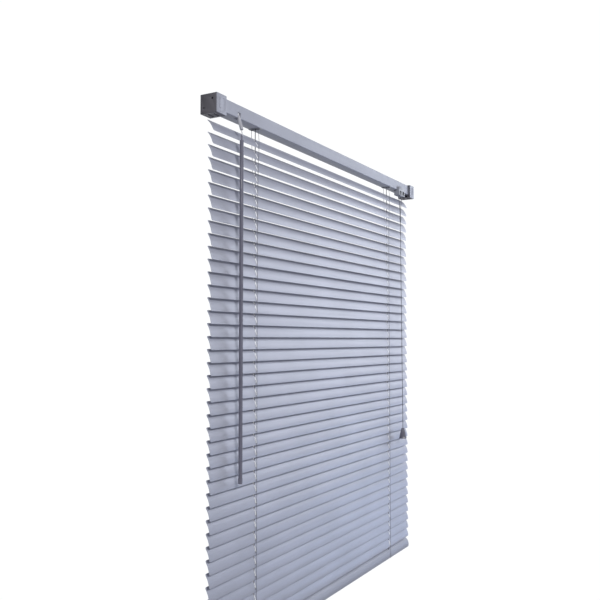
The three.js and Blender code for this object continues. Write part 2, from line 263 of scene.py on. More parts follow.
def smoky_plastic(name, colour, transmission):
    """Part-clear tinted plastic with faint flow lines along the moulding."""
    material, tree, shader = shader_nodes(name)
    flow = noise_value(tree, place_coordinates(tree, (260, 260, 14)), 1.0, detail=3)
    base = colour_between(tree, flow, shade(colour, 0.86), shade(colour, 1.1))
    tree.links.new(base, shader.inputs["Base Color"])
    tree.links.new(value_between(tree, flow, 0.14, 0.26), shader.inputs["Roughness"])
    shader.inputs["Transmission Weight"].default_value = transmission
    shader.inputs["IOR"].default_value = 1.49
    shader.inputs["Coat Weight"].default_value = 0.3
    shader.inputs["Coat Roughness"].default_value = 0.1
    add_bump(tree, shader, flow, 0.06, 0.0001)
    return material


def plated_steel(name, colour, roughness):
    material, tree, shader = shader_nodes(name)
    brushed = noise_value(tree, place_coordinates(tree, (30, 1500, 1500)), 1.0, detail=3)
    base = colour_between(tree, brushed, shade(colour, 0.85), shade(colour, 1.05))
    tree.links.new(base, shader.inputs["Base Color"])
    tree.links.new(
        value_between(tree, brushed, roughness - 0.08, roughness + 0.1),
        shader.inputs["Roughness"],
    )
    shader.inputs["Metallic"].default_value = 1
    add_bump(tree, shader, brushed, 0.12, 0.00005)
    return material


def braided_cord(name, colour):
    """A round braid: two crossing sets of strands, told by the piece's own cord coordinates."""
    material, tree, shader = shader_nodes(name)
    along = tree.nodes.new("ShaderNodeUVMap")
    along.uv_map = "cord"
    heights = []
    for lean in (1, -1):
        mapping = tree.nodes.new("ShaderNodeMapping")
        mapping.inputs["Rotation"].default_value = (0, 0, lean * math.radians(45))
        tree.links.new(along.outputs["UV"], mapping.inputs["Vector"])
        wave = tree.nodes.new("ShaderNodeTexWave")
        wave.inputs["Scale"].default_value = 1.1
        wave.inputs["Distortion"].default_value = 0.6
        tree.links.new(mapping.outputs["Vector"], wave.inputs["Vector"])
        heights.append(wave.outputs["Fac"])
    braid = tree.nodes.new("ShaderNodeMath")
    braid.operation = "MAXIMUM"
    tree.links.new(heights[0], braid.inputs[0])
    tree.links.new(heights[1], braid.inputs[1])
    # Darker between the strands: painted shade in the braid's grooves.
    base = colour_between(tree, braid.outputs[0], shade(colour, 0.7), colour, 0.1, 0.7)
    tree.links.new(base, shader.inputs["Base Color"])
    shader.inputs["Roughness"].default_value = 0.8
    shader.inputs["Sheen Weight"].default_value = 0.3
    add_bump(tree, shader, braid.outputs[0], 0.5, 0.0001)
    return material


LOOKS = {
    "rail_paint": coil_coated_metal("rail_paint", (0.345, 0.36, 0.44), 0.5, 0.05),
    "slat_paint": coil_coated_metal("slat_paint", (0.37, 0.385, 0.475), 0.4, 0.1),
    # The bracket's paint, made much darker than the rail's: painted shade for the bracket's unlit
    # end and underside.
    "bracket_paint": coil_coated_metal(
        "bracket_paint", (0.16, 0.155, 0.185), 0.55, 0.05, streaks=(300, 300, 300)
    ),
    "housing_plastic": moulded_plastic("housing_plastic", (0.32, 0.335, 0.39), 0.42),
    # Near black: painted shade for the dark inside of the cord lock's windows.
    "jaw_painted_shade": moulded_plastic("jaw_painted_shade", (0.012, 0.012, 0.018), 0.5),
    "stem_plastic": smoky_plastic("stem_plastic", (0.50, 0.51, 0.58), 0.05),
    "drum_plastic": moulded_plastic("drum_plastic", (0.36, 0.37, 0.42), 0.4),
    "clear_plastic": smoky_plastic("clear_plastic", (0.20, 0.20, 0.27), 0.15),
    "steel": plated_steel("steel", (0.55, 0.55, 0.58), 0.32),
    "cord": braided_cord("cord", (0.17, 0.175, 0.215)),
}


# ---- mesh helpers ----
def finish_piece(obj, look, body, replaced=(), angle=35):
    """Gives a mesh its material, smooth shading with sharp edges and its body, and hides the CAD
    nodes it stands in for.
    """
    mesh = obj.data
    mesh.materials.clear()
    mesh.materials.append(LOOKS[look])
    mesh.shade_smooth()
    mesh.set_sharp_from_angle(angle=math.radians(angle))
    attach(obj, body)
    if replaced:
        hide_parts(*replaced)
    return obj


def new_object(name, vertices, faces):
    mesh = bpy.data.meshes.new(name)
    mesh.from_pydata([tuple(v) for v in vertices], [], faces)
    mesh.validate()
    mesh.update()
    obj = bpy.data.objects.new(name, mesh)
    bpy.context.scene.collection.objects.link(obj)
    return obj


def apply_modifiers(obj):
    """Replaces the object's mesh by what its modifiers make of it."""
    bpy.context.view_layer.update()
    graph = bpy.context.evaluated_depsgraph_get()
    mesh = bpy.data.meshes.new_from_object(obj.evaluated_get(graph))
    obj.modifiers.clear()
    obj.data = mesh
    return obj


def boolean(obj, tools, operation="DIFFERENCE"):
    for tool in tools:
        modifier = obj.modifiers.new("cut", "BOOLEAN")
        modifier.operation = operation
        modifier.solver = "EXACT"
        modifier.object = tool
        apply_modifiers(obj)
        bpy.data.objects.remove(tool)
    return obj


def bevel(obj, width, segments=2):
    modifier = obj.modifiers.new("bevel", "BEVEL")
    modifier.width = width
    modifier.segments = segments
    modifier.limit_method = "ANGLE"
    modifier.angle_limit = math.radians(40)
    modifier.use_clamp_overlap = True
    return apply_modifiers(obj)


def box_object(name, low, high):
    low, high = Vector(low), Vector(high)
    corners = [
        (x, y, z) for z in (low.z, high.z) for y in (low.y, high.y) for x in (low.x, high.x)
    ]
    faces = [(0, 2, 3, 1), (4, 5, 7, 6), (0, 1, 5, 4), (2, 6, 7, 3), (0, 4, 6, 2), (1, 3, 7, 5)]
    return new_object(name, corners, faces)


def fix_normals(obj, weld=0.0):
    """Welds points closer than a distance, if one is given, and turns all faces outward."""
    mesh = bmesh.new()
    mesh.from_mesh(obj.data)
    if weld:
        bmesh.ops.remove_doubles(mesh, verts=mesh.verts, dist=weld)
    bmesh.ops.recalc_face_normals(mesh, faces=mesh.faces)
    mesh.to_mesh(obj.data)
    mesh.free()
    return obj


def extruded(name, ring, x_span):
    """A closed outline of (y, z) points, drawn out along X between two ends."""
    vertices = [(x, y, z) for x in x_span for y, z in ring]
    count = len(ring)
    faces = [tuple(range(count)), tuple(reversed(range(count, 2 * count)))]
    for i in range(count):
        j = (i + 1) % count
        faces.append((j, i, i + count, j + count))
    return fix_normals(new_object(name, vertices, faces))


def turned(name, profile, centre, axis, sides=40):
    """A closed profile of (radius, height) points, turned about an axis through the centre."""
    axis = Vector(axis).normalized()
    turn = axis.to_track_quat("Z", "Y").to_matrix()
    vertices = []
    for step in range(sides):
        angle = 2 * math.pi * step / sides
        for radius, height in profile:
            point = Vector((radius * math.cos(angle), radius * math.sin(angle), height))
            vertices.append(Vector(centre) + turn @ point)
    count = len(profile)
    faces = []
    for step in range(sides):
        following = (step + 1) % sides
        for index in range(count):
            after = (index + 1) % count
            faces.append((
                step * count + index,
                following * count + index,
                following * count + after,
                step * count + after,
            ))
    return fix_normals(new_object(name, vertices, faces), weld=0.001 * MM)


def cylinder_object(name, start, end, radius):
    start, end = Vector(start), Vector(end)
    length = (end - start).length
    profile = [(0, 0), (radius, 0), (radius, length), (0, length)]
    return turned(name, profile, start, end - start, 32)


def refined(node, name, look, body, width=0.35 * MM, segments=2, tools=()):
    """The CAD node's shape with its coplanar triangles merged and its edges rounded."""
    obj = bpy.data.objects.new(name, frame["nodes"][node].data.copy())
    bpy.context.scene.collection.objects.link(obj)
    mesh = bmesh.new()
    mesh.from_mesh(obj.data)
    bmesh.ops.remove_doubles(mesh, verts=mesh.verts, dist=2e-6)
    bmesh.ops.dissolve_limit(
        mesh, angle_limit=math.radians(1), verts=mesh.verts, edges=mesh.edges
    )
    mesh.to_mesh(obj.data)
    mesh.free()
    boolean(obj, tools)
    bevel(obj, width, segments)
    return finish_piece(obj, look, body, [node])


def smooth_path(points, step=2 * MM):
    """A rounded line through given points, as evenly spaced points."""
    points = [Vector(p) for p in points]
    ends = [2 * points[0] - points[1], *points, 2 * points[-1] - points[-2]]
    path = [points[0]]
    for index in range(1, len(ends) - 2):
        before, start, end, after = ends[index - 1:index + 3]
        count = max(2, round((end - start).length / step))
        for part in range(1, count + 1):
            t = part / count
            path.append(0.5 * (
                2 * start
                + (end - before) * t
                + (2 * before - 5 * start + 4 * end - after) * t * t
                + (3 * start - before - 3 * end + after) * t ** 3
            ))
    return path


def cord_mesh(name, path, radius, sides=10):
    """A round tube along a path with closed ends, and coordinates that count cord widths."""
    vertices, faces, widths = [], [], []
    travelled = 0.0
    side = None
    for index, point in enumerate(path):
        ahead = path[min(index + 1, len(path) - 1)] - path[max(index - 1, 0)]
        ahead.normalize()
        if side is None:
            side = ahead.orthogonal().normalized()
        side = (side - ahead * side.dot(ahead)).normalized()
        across = ahead.cross(side)
        if index:
            travelled += (point - path[index - 1]).length
        widths.append(travelled / (2 * radius))
        for step in range(sides):
            angle = 2 * math.pi * step / sides
            vertices.append(point + radius * (math.cos(angle) * side + math.sin(angle) * across))
    for index in range(len(path) - 1):
        for step in range(sides):
            following = (step + 1) % sides
            faces.append((
                index * sides + step,
                index * sides + following,
                (index + 1) * sides + following,
                (index + 1) * sides + step,
            ))
    faces.append(tuple(reversed(range(sides))))
    last = (len(path) - 1) * sides
    faces.append(tuple(range(last, last + sides)))
    obj = new_object(name, vertices, faces)
    layer = obj.data.uv_layers.new(name="cord")
    for polygon in obj.data.polygons:
        for loop in polygon.loop_indices:
            vertex = obj.data.loops[loop].vertex_index
            turn = (vertex % sides) / sides
            layer.data[loop].uv = (turn * 2, widths[vertex // sides])
    return obj


# ---- slats ----
def slat_levels():
    """Distances across the slat, closer together towards its edges."""
    half = SLAT_CHORD / 2
    steps = 10
    return [half * math.sin(0.5 * math.pi * (i / steps)) for i in range(-steps, steps + 1)]


def stadium_point(x, y, middle):
    """The point of the route hole's outline that faces (x, y)."""
    reach, size = ROUTE_HOLE[0] / 2 - ROUTE_HOLE[1] / 2, ROUTE_HOLE[1] / 2
    if abs(y) <= reach:
        return middle + math.copysign(size, x - middle), y
    centre = math.copysign(reach, y)
    direction = Vector((x - middle, y - centre)).normalized()
    return middle + size * direction.x, centre + size * direction.y


def flat_slat(holes):
    """Flat points (x, y) and faces of a slat with rounded corners and two route holes."""
    levels = slat_levels()
    half = SLAT_CHORD / 2
    points, faces = [], []

    def column(x, inset_sign=0):
        start = len(points)
        for y in levels:
            beyond = max(0.0, abs(y) - (half - SLAT_CORNER))
            inset = SLAT_CORNER - math.sqrt(max(0.0, SLAT_CORNER ** 2 - beyond ** 2))
            points.append((x + inset_sign * inset, y))
        return list(range(start, start + len(levels)))

    def strip(left, right):
        for i in range(len(levels) - 1):
            faces.append((left[i], right[i], right[i + 1], left[i + 1]))

    border = 3.2 * MM
    previous = column(SLAT_X[0], inset_sign=1)
    inner = column(SLAT_X[0] + 2 * SLAT_CORNER)
    strip(previous, inner)
    previous = inner
    for middle in holes:
        left = column(middle - border)
        strip(previous, left)
        right = column(middle + border)
        top, bottom = len(points), len(points) + 1
        points.extend([(middle, levels[-1]), (middle, levels[0])])
        ring = [*left, top, *reversed(right), bottom]
        hole = []
        for index in ring:
            hole.append(len(points))
            points.append(stadium_point(*points[index], middle))
        for i in range(len(ring)):
            j = (i + 1) % len(ring)
            faces.append((ring[j], ring[i], hole[i], hole[j]))
        previous = right
    inner = column(SLAT_X[1] - 2 * SLAT_CORNER)
    strip(previous, inner)
    strip(inner, column(SLAT_X[1], inset_sign=-1))
    return points, faces


def slat_surface(y):
    """Height and normal of the slat's curved middle surface."""
    half = SLAT_CHORD / 2
    radius = (half ** 2 + SLAT_CROWN ** 2) / (2 * SLAT_CROWN)
    drop = radius - SLAT_CROWN
    z = math.sqrt(radius ** 2 - y ** 2) - drop
    return z, Vector((0, y / radius, (z + drop) / radius))


def open_edges(faces):
    """Edges with one face, each in its face's direction."""
    directed = {(face[i], face[(i + 1) % len(face)]) for face in faces for i in range(len(face))}
    return [(a, b) for a, b in directed if (b, a) not in directed]


def make_slats():
    points, faces = flat_slat(LADDER_X)
    rim = sorted(open_edges(faces))
    count = len(points)
    solid_faces = [tuple(f) for f in faces]
    solid_faces += [tuple(i + count for i in reversed(f)) for f in faces]
    solid_faces += [(b, a, a + count, b + count) for a, b in rim]
    draw = random.Random(25)
    middle_x = sum(SLAT_X) / 2
    length = SLAT_X[1] - SLAT_X[0]
    for index in range(SLAT_COUNT):
        twist = math.radians(draw.uniform(-0.5, 0.5))
        lean = math.radians(draw.uniform(-0.5, 0.5))
        sag = draw.uniform(0.05, 0.35) * MM
        centre = slat_centre(index)
        tilt = slat_tilt(index)
        vertices = []
        for side in (1, -1):
            for x, y in points:
                z, normal = slat_surface(y)
                place = Vector((0, y, z)) + normal * (side * SLAT_THICKNESS / 2)
                share = 2 * (x - middle_x) / length
                turn = Matrix.Rotation(tilt + lean + twist * share, 3, "X")
                place = turn @ place
                bow = -sag * math.cos(math.pi * share / 2)
                vertices.append(Vector((x, centre.y + place.y, centre.z + place.z + bow)))
        obj = new_object(f"slat_strip_{index + 1:02d}", vertices, solid_faces)
        finish_piece(obj, "slat_paint", slat_name(index), [slat_name(index)], angle=50)


# ---- ladders ----
def make_rungs():
    """Two thin cross threads under each slat at each ladder, from front string to back string."""
    reach = SLAT_CHORD / 2 + STRING_OFFSET * 0.7
    for index in range(SLAT_COUNT):
        centre = slat_centre(index)
        turn = Matrix.Rotation(slat_tilt(index), 3, "X")
        threads = []
        for ladder in LADDER_X:
            for lean in (1, -1):
                path = []
                for step in range(9):
                    share = step / 4 - 1
                    y = reach * share
                    dip = -0.55 * MM - 0.3 * MM * (1 - share ** 2)
                    place = turn @ Vector((0, y, dip))
                    x = ladder + 3.1 * MM * lean * (1 - abs(share) ** 3)
                    path.append(Vector((x, centre.y + place.y, centre.z + place.z)))
                threads.append(cord_mesh("thread", path, RUNG_RADIUS, 6))
        obj = joined(f"ladder_rungs_{index + 1:02d}", threads)
        finish_piece(obj, "cord", slat_name(index))


def joined(name, objects):
    """One object from several meshes, keeping their cord coordinates."""
    for obj in bpy.context.selected_objects:
        obj.select_set(False)
    for obj in objects:
        obj.select_set(True)
    bpy.context.view_layer.objects.active = objects[0]
    bpy.ops.object.join()
    result = bpy.context.view_layer.objects.active
    result.name = name
    result.data.name = name
    result.select_set(False)
    return result


def string_y(index, sign):
    return sign * (SLAT_CHORD / 2 * math.cos(slat_tilt(index)) + STRING_OFFSET)


def make_ladder_strings():
    edge = SLAT_CHORD / 2 * math.sin(math.radians(HANGING_TILT))
    for side, sign in (("front", -1), ("back", 1)):
        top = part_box(f"ladder_{side}")[1].z
        for name, x in LADDERS:
            points = [Vector((x, MID_Y + string_y(0, sign), top))]
            for index in range(SLAT_COUNT):
                z = slat_centre(index).z + sign * edge
                if z < top - 4 * MM:
                    points.append(Vector((x, MID_Y + string_y(index, sign), z)))
            last = MID_Y + string_y(SLAT_COUNT - 1, sign)
            points.append(Vector((x, last, BOTTOM_RAIL.z + 8 * MM + (sign > 0) * 10 * MM)))
            points.append(Vector((x, last + sign * 0.3 * MM, BOTTOM_RAIL.z + sign * edge)))
            string = cord_mesh(
                f"ladder_{side}_string_{name}", smooth_path(points, 6 * MM), STRING_RADIUS, 8
            )
            replaced = [f"ladder_{side}"] if name == "left" else []
            finish_piece(string, "cord", f"ladder_{side}", replaced)
            make_string_head(side, sign, name, x, points[0])


def make_string_head(side, sign, name, x, foot):
    """The string's upper end: a turn in the drum's groove, and the part that hangs below it.

    The turn stays on the drum, and the hanging part goes up and down with the ladder."""
    hub = 4.9 * MM
    start = Vector((x, MID_Y + sign * hub, ROD.z))
    wrap = [
        start + Vector((0, -sign * 1.2 * MM, 3.6 * MM)),
        start,
        start + Vector((0, sign * 0.15 * MM, -6 * MM)),
        start + Vector((0, sign * 0.2 * MM, -10.5 * MM)),
    ]
    if side == "back":
        # it sinks as the slats turn over, so its spare length stands beside the drum
        upper = [Vector((x, foot.y, ROD.z + 10 * MM)), Vector((x, foot.y, ROD.z - 6 * MM))]
    else:
        upper = [
            start + Vector((0, sign * 0.2 * MM, -11 * MM)),
            start.lerp(foot, 0.6) + Vector((0, sign * 0.1 * MM, 0)),
        ]
    hanging = upper + [
        foot + Vector((0, 0, 1.5 * MM)),
        foot + Vector((0, 0, -3 * MM)),
    ]
    for part, points, body in (("wrap", wrap, "tilt_rod"), ("head", hanging, f"ladder_{side}")):
        string = cord_mesh(
            f"ladder_{side}_{part}_{name}", smooth_path(points, 1 * MM), STRING_RADIUS * 0.98, 8
        )
        finish_piece(string, "cord", body)


# ---- pull cords and lift cords ----
def along_line(start, end, count):
    return [start.lerp(end, step / count) for step in range(1, count + 1)]


def make_pull_cords():
    """The front leg runs on through the knot to the tassel, and the other ends in the knot."""
    long_points = leg_points(LEG_X[0])
    below_knot = Vector((KNOT.x, KNOT.y, KNOT.z - KNOT_LENGTH / 2))
    into_tassel = TASSEL + Vector((0, 0, -6 * MM))
    long_points += [KNOT, below_knot, *along_line(below_knot, into_tassel, 14)]
    long_path = smooth_path(long_points, 2 * MM)
    long_cord = cord_mesh("pull_cord_line", long_path, PULL_CORD_RADIUS, 12)
    finish_piece(long_cord, "cord", "pull_cord", ["pull_cord"])

    short_points = leg_points(LEG_X[1])
    short_points.append((KNOT.x + 0.9 * MM, KNOT.y, KNOT.z))
    short_path = smooth_path(short_points, 1.5 * MM)
    short_cord = cord_mesh("pull_cord_leg", short_path, PULL_CORD_RADIUS, 12)
    finish_piece(short_cord, "cord", "pull_cord")

    turns, steps = 4, 72
    coil = []
    for step in range(steps + 1):
        share = step / steps
        angle = 2 * math.pi * turns * share
        swell = 1.2 * MM + 0.75 * MM * math.sin(math.pi * share)
        coil.append(KNOT + Vector((
            swell * math.cos(angle),
            swell * math.sin(angle),
            KNOT_LENGTH * (0.36 - 0.72 * share),
        )))
    knot = cord_mesh("pull_cord_knot", coil, PULL_CORD_RADIUS, 10)
    finish_piece(knot, "cord", "pull_cord")

    tassel = make_tassel()


def make_tassel():
    """A moulded bell with a collar and fine flutes, hollow below where the cord is knotted."""
    profile = [
        (1.0, 0), (3.2, 0), (3.9, -0.5), (4.1, -1.6), (3.8, -2.6), (4.2, -3.6), (5.1, -6),
        (6.2, -10), (7.4, -15), (8.4, -20), (9.1, -24.5), (9.4, -25.4), (9.3, -26), (8.2, -26),
        (8.0, -25), (7.2, -20), (6.0, -14), (4.4, -8.5), (3.2, -6.4), (1.0, -6),
    ]
    points = [(radius * MM, height * MM) for radius, height in profile]
    sides = 96
    bell = turned("tassel_bell", points, TASSEL, (0, 0, 1), sides)
    for vertex in bell.data.vertices:
        arm = vertex.co - TASSEL
        if -24.8 * MM < arm.z < -5.5 * MM:
            radius = math.hypot(arm.x, arm.y)
            outer = radius > 4.6 * MM + (-arm.z - 6 * MM) * 0.19
            if outer:
                flute = 1 - 0.028 * (1 + math.cos(24 * math.atan2(arm.y, arm.x)))
                vertex.co.x = TASSEL.x + arm.x * flute
                vertex.co.y = TASSEL.y + arm.y * flute
    return finish_piece(bell, "clear_plastic", "pull_cord", ["cord_tassel"], angle=50)


def make_lift_cords():
    """Each cord hangs from the rail through the slats into the bottom rail, and runs to the lock.

    The right one runs beside the left one."""
    for name, x in LADDERS:
        top = RAIL_LOW.z + 2 * MM
        points = [Vector((x, MID_Y, top)), Vector((x, MID_Y, BOTTOM_RAIL.z))]
        drop = cord_mesh(
            f"lift_cord_drop_{name}", smooth_path(points, 12 * MM), LIFT_CORD_RADIUS, 10
        )
        replaced = ["lift_cord_left"] if name == "left" else []
        finish_piece(drop, "cord", "lift_cord", replaced)
        run_y = MID_Y + 7 * MM + (name == "right") * MM
        run_z = RAIL_LOW.z + 3.4 * MM
        end_x = LOCK_LOW.x + 2 * MM
        turn = [
            (x, MID_Y, top - 0.5 * MM),
            (x + 0.3 * MM, MID_Y + 0.4 * MM, top + 1.4 * MM),
            (x + 3 * MM, MID_Y + 3.5 * MM, run_z),
            (x + 12 * MM, run_y, run_z),
        ]
        steps = max(1, round((end_x - x) / (100 * MM)))
        for step in range(1, steps + 1):
            share = step / steps
            turn.append((
                x + 12 * MM + (end_x - x - 12 * MM) * share,
                run_y,
                run_z - 0.6 * MM * math.sin(math.pi * share),
            ))
        run = cord_mesh(f"lift_cord_run_{name}", smooth_path(turn, 6 * MM), LIFT_CORD_RADIUS, 8)
        finish_piece(run, "cord", "frame")


# ---- head rail ----
def make_rail():
    """A roll-formed channel with rounded corners and lips turned in at the top."""
    wall, corner, lip = 0.8 * MM, 1.7 * MM, 3 * MM
    low, high = RAIL_LOW, RAIL_HIGH
    outline = [
        (low.y + lip, high.z, 0), (low.y, high.z, corner), (low.y, low.z, corner),
        (high.y, low.z, corner), (high.y, high.z, corner), (high.y - lip, high.z, 0),
    ]
    middle = []
    for index, (y, z, radius) in enumerate(outline):
        if not radius:
            middle.append((Vector((y, z - wall / 2)), Vector((0, 1))))
            continue
        before = Vector(outline[index - 1][:2])
        after = Vector(outline[index + 1][:2])
        point = Vector((y, z))
        back, ahead = (before - point).normalized(), (after - point).normalized()
        centre = point + (back + ahead) * radius
        start, end = point + back * radius, point + ahead * radius
        for step in range(6):
            share = step / 5
            arm = (start - centre).slerp(end - centre, share, (start - centre))
            direction = arm.normalized()
            middle.append((centre + direction * (radius - wall / 2), direction))
    outer, inner = [], []
    for point, direction in middle:
        outer.append(point + direction * wall / 2)
        inner.append(point - direction * wall / 2)
    ring = outer + inner[::-1]
    rail = extruded("rail_channel", ring, (low.x, high.x))
    cutters = [
        box_object(
            "hole",
            (x - 4 * MM, MID_Y - 11 * MM, low.z - MM),
            (x + 4 * MM, MID_Y + 11 * MM, low.z + 1.8 * MM),
        )
        for x in LADDER_X
    ]
    front = low.y
    cutters.append(box_object(
        "notch",
        (TILTER_X - 4.5 * MM, front - MM, low.z - MM),
        (TILTER_X + 4.5 * MM, front + 8.5 * MM, low.z + 10.4 * MM),
    ))
    cutters.append(box_object(
        "window",
        (NOSE_X[0] - 0.3 * MM, front - MM, low.z - MM),
        (NOSE_X[1] + 0.3 * MM, front + 10.5 * MM, low.z + 8.9 * MM),
    ))
    boolean(rail, cutters)
    finish_piece(rail, "rail_paint", "frame", ["head_rail"], angle=30)
    for name, x in LADDERS:
        plug = box_object(
            f"ladder_guide_{name}",
            (x - 5.2 * MM, MID_Y - 12 * MM, low.z - 0.9 * MM),
            (x + 5.2 * MM, MID_Y + 12 * MM, low.z - 0.05 * MM),
        )
        boolean(plug, [box_object(
            "hole",
            (x - 3.2 * MM, MID_Y - 10.6 * MM, low.z - 2 * MM),
            (x + 3.2 * MM, MID_Y + 10.6 * MM, low.z + 2 * MM),
        )])
        bevel(plug, 0.3 * MM, 2)
        finish_piece(plug, "drum_plastic", "frame")


# ---- tilter, rod and drums ----
def stem_point(z):
    """A point on the tilter stem's axis at a height below the rod."""
    lean = STEM_AXIS.y / STEM_AXIS.z
    return Vector((TILTER_X, STEM_TOP.y + (z - ROD.z) * lean, z))


def make_tilter():
    refined("tilter_housing", "tilter_block", "housing_plastic", "frame", 0.5 * MM)
    top, bottom = stem_point(ROD.z + 6.5 * MM), stem_point(STEM_FOOT.z)
    length = (bottom - top).length
    radius = 3.05 * MM
    profile = [
        (0, 0), (2.3 * MM, 0), (2.6 * MM, 0.4 * MM), (2.6 * MM, 13.2 * MM),
        (2.3 * MM, 13.8 * MM), (2.3 * MM, 16 * MM), (radius, 17 * MM),
        (radius, length - 0.5 * MM), (radius - 0.4 * MM, length),
        (1.95 * MM, length), (1.85 * MM, length - 0.3 * MM), (1.8 * MM, length - 7 * MM),
        (0, length - 7.4 * MM),
    ]
    stem = turned("tilter_stem", profile, top, bottom - top, 40)
    axis = (bottom - top).normalized()
    side = axis.orthogonal().normalized()
    across = axis.cross(side)
    thread = []
    turns, start, end = 5, 1 * MM, 12.6 * MM
    for step in range(turns * 20 + 1):
        share = step / (turns * 20)
        angle = 2 * math.pi * turns * share
        arm = math.cos(angle) * side + math.sin(angle) * across
        thread.append(top + axis * (start + (end - start) * share) + arm * 2.6 * MM)
    worm = cord_mesh("thread", thread, 0.6 * MM, 6)
    whole = joined("tilter_stem", [stem, worm])
    finish_piece(whole, "stem_plastic", "worm", ["tilter_worm"])

    wheel = gear(
        "worm_wheel", (TILTER_X, MID_Y, ROD.z), teeth=14,
        root=3.75 * MM, tip=4.5 * MM, bore=3.1 * MM, width=6 * MM,
    )
    finish_piece(wheel, "drum_plastic", "tilt_rod")


def gear(name, centre, teeth, root, tip, bore, width):
    """A straight-toothed wheel about an X axis, with a round bore."""
    centre = Vector(centre)
    ring = []
    for tooth in range(teeth):
        for share, radius in ((0.0, root), (0.3, root), (0.42, tip), (0.72, tip), (0.86, root)):
            angle = 2 * math.pi * (tooth + share) / teeth
            ring.append((angle, radius))
    vertices, faces = [], []
    for x in (-width / 2, width / 2):
        for angle, radius in ring:
            for reach in (radius, bore):
                offset = Vector((x, reach * math.cos(angle), reach * math.sin(angle)))
                vertices.append(centre + offset)
    count = len(ring)
    for i in range(count):
        j = (i + 1) % count
        out_a, in_a, out_b, in_b = 2 * i, 2 * i + 1, 2 * j, 2 * j + 1
        far = 2 * count
        faces.append((out_a, out_b, in_b, in_a))
        faces.append((out_b + far, out_a + far, in_a + far, in_b + far))
        faces.append((out_b, out_a, out_a + far, out_b + far))
        faces.append((in_a, in_b, in_b + far, in_a + far))
    return fix_normals(new_object(name, vertices, faces))


def make_rod_and_drums():
    refined("tilt_rod", "tilt_rod_bar", "steel", "tilt_rod", 0.3 * MM)
    for name, x in LADDERS:
        half, lip = 6 * MM, 1.3 * MM
        profile = [
            (3.35 * MM, -half), (7.1 * MM, -half), (7.5 * MM, -half + 0.4 * MM),
            (7.5 * MM, -lip - 0.5 * MM), (7.1 * MM, -lip), (4.9 * MM, -lip),
            (4.4 * MM, -lip + 0.5 * MM), (4.4 * MM, lip - 0.5 * MM), (4.9 * MM, lip),
            (7.1 * MM, lip), (7.5 * MM, lip + 0.5 * MM), (7.5 * MM, half - 0.4 * MM),
            (7.1 * MM, half), (3.35 * MM, half),
        ]
        drum = turned(f"drum_{name}", profile, (x, MID_Y, ROD.z), (1, 0, 0), 48)
        finish_piece(drum, "drum_plastic", "tilt_rod", [f"ladder_drum_{name}"])
        make_cradle(x, name)


def make_cradle(x, name):
    """A clip on the rail's floor with two cheeks that carry the rod beside the drum."""
    floor_z = RAIL_LOW.z + 0.85 * MM
    base = box_object(
        "base",
        (x - 9 * MM, MID_Y - 11.2 * MM, floor_z),
        (x + 9 * MM, MID_Y + 4.2 * MM, floor_z + 1 * MM),
    )
    parts = []
    for sign in (-1, 1):
        near = x + sign * 6.8 * MM
        far = x + sign * 8.4 * MM
        parts.append(box_object(
            "cheek",
            (min(near, far), MID_Y - 5 * MM, floor_z + 0.5 * MM),
            (max(near, far), MID_Y + 4.2 * MM, ROD.z + 2 * MM),
        ))
    boolean(base, parts, "UNION")
    tools = [
        cylinder_object("bore", (x - 20 * MM, MID_Y, ROD.z), (x + 20 * MM, MID_Y, ROD.z), 3.4 * MM),
        box_object(
            "mouth",
            (x - 20 * MM, MID_Y - 2.6 * MM, ROD.z),
            (x + 20 * MM, MID_Y + 2.6 * MM, ROD.z + 9 * MM),
        ),
        box_object(
            "well",
            (x - 4 * MM, MID_Y - 11 * MM, floor_z - 2 * MM),
            (x + 4 * MM, MID_Y + 11 * MM, floor_z + 3 * MM),
        ),
    ]
    boolean(base, tools)
    bevel(base, 0.2 * MM, 1)
    base.name = f"drum_cradle_{name}"
    finish_piece(base, "drum_plastic", "frame")


# ---- wand ----
def make_wand():
    refined("wand", "wand_shaft", "clear_plastic", "wand", 0.55 * MM, 3)
    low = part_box("wand")[0]
    foot = Vector((TILTER_X, STEM_FOOT.y, low.z))
    profile = [
        (0, 0.1 * MM), (3.0 * MM, 0.1 * MM), (3.9 * MM, 0.9 * MM), (3.9 * MM, 9 * MM),
        (3.7 * MM, 9.6 * MM), (0, 9.6 * MM),
    ]
    cap = turned("wand_end_cap", profile, foot, (0, 0, 1), 40)
    finish_piece(cap, "clear_plastic", "wand")

    top = STEM_FOOT.z - 0.4 * MM
    offsets = [(0, 0), (0, -3.5), (1.6, -6), (1.2, -8), (-0.6, -8.8), (-2.2, -7.4)]
    points = [(TILTER_X + x * MM, STEM_FOOT.y, top + z * MM) for x, z in offsets]
    hook = cord_mesh("wand_wire_hook", smooth_path(points, 0.4 * MM), 0.6 * MM, 14)
    finish_piece(hook, "steel", "wand_hook", ["wand_hook"])


